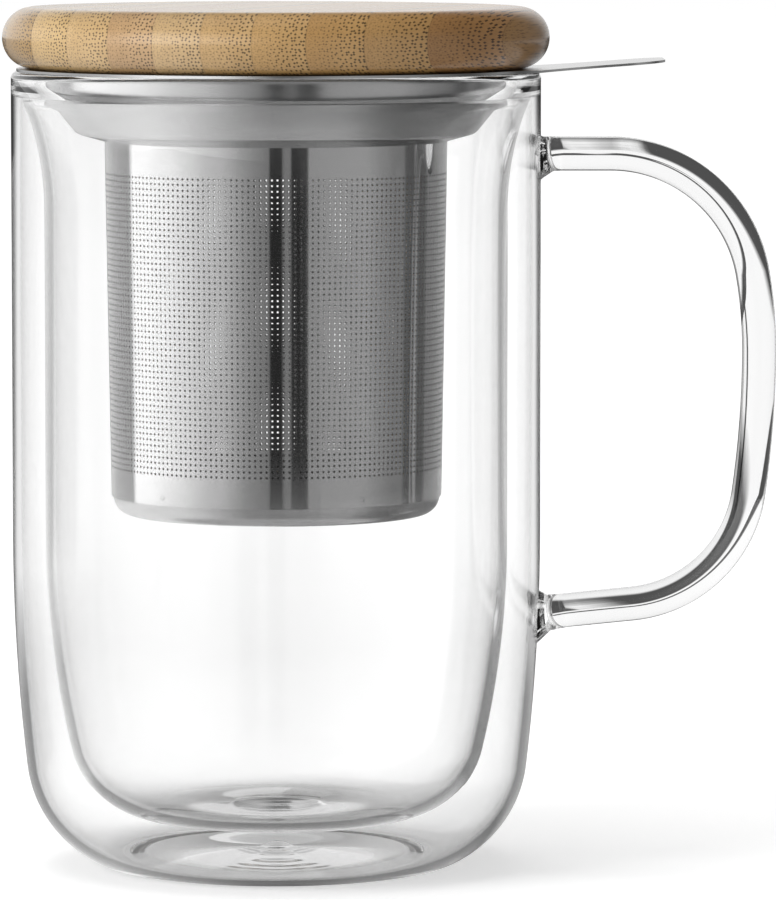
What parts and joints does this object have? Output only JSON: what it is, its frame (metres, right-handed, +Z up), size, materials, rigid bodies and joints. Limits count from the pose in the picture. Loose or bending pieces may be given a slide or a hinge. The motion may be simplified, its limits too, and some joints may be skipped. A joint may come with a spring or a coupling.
{
  "type": "lidded tea mug with infuser",
  "caption": "Tall double-walled glass mug with a rod handle, a perforated steel infuser that hangs on the rim, and a flat laminated bamboo lid that lifts off.",
  "frame": {"origin": "centre of the foot ring that the mug stands on", "axes": "+Z up along the mug's axis, +X from the axis to the handle and the thumb tab, +Y to the back"},
  "size_m": [0.1267, 0.0894, 0.141],
  "materials": {
    "glass": "clear, fire-polished",
    "steel": "fine satin",
    "bamboo": "sanded and lightly oiled",
    "silicone": "matt translucent"
  },
  "bodies": {
    "mug": {"outer_wall": "glass", "inner_wall": "glass", "vent_seal": "glass", "handle": "glass"},
    "infuser": {"infuser_collar": "steel", "infuser_sleeve": "steel", "infuser_base_cup": "steel"},
    "lid": {"lid_strip_01": "bamboo", "lid_strip_02": "bamboo", "lid_strip_03": "bamboo", "lid_strip_04": "bamboo", "lid_strip_05": "bamboo", "lid_strip_06": "bamboo", "lid_strip_07": "bamboo", "lid_strip_08": "bamboo", "lid_strip_09": "bamboo", "lid_strip_10": "bamboo", "lid_strip_11": "bamboo", "lid_strip_12": "bamboo", "lid_seal": "silicone"}
  },
  "joints": [
    {"name": "infuser_lift", "type": "slide", "parent": "mug", "child": "infuser", "axis": [0, 0, 1], "range_m": [0, 0.09]},
    {"name": "lid_lift", "type": "slide", "parent": "infuser", "child": "lid", "axis": [0, 0, 1], "range_m": [0, 0.04]}
  ]
}
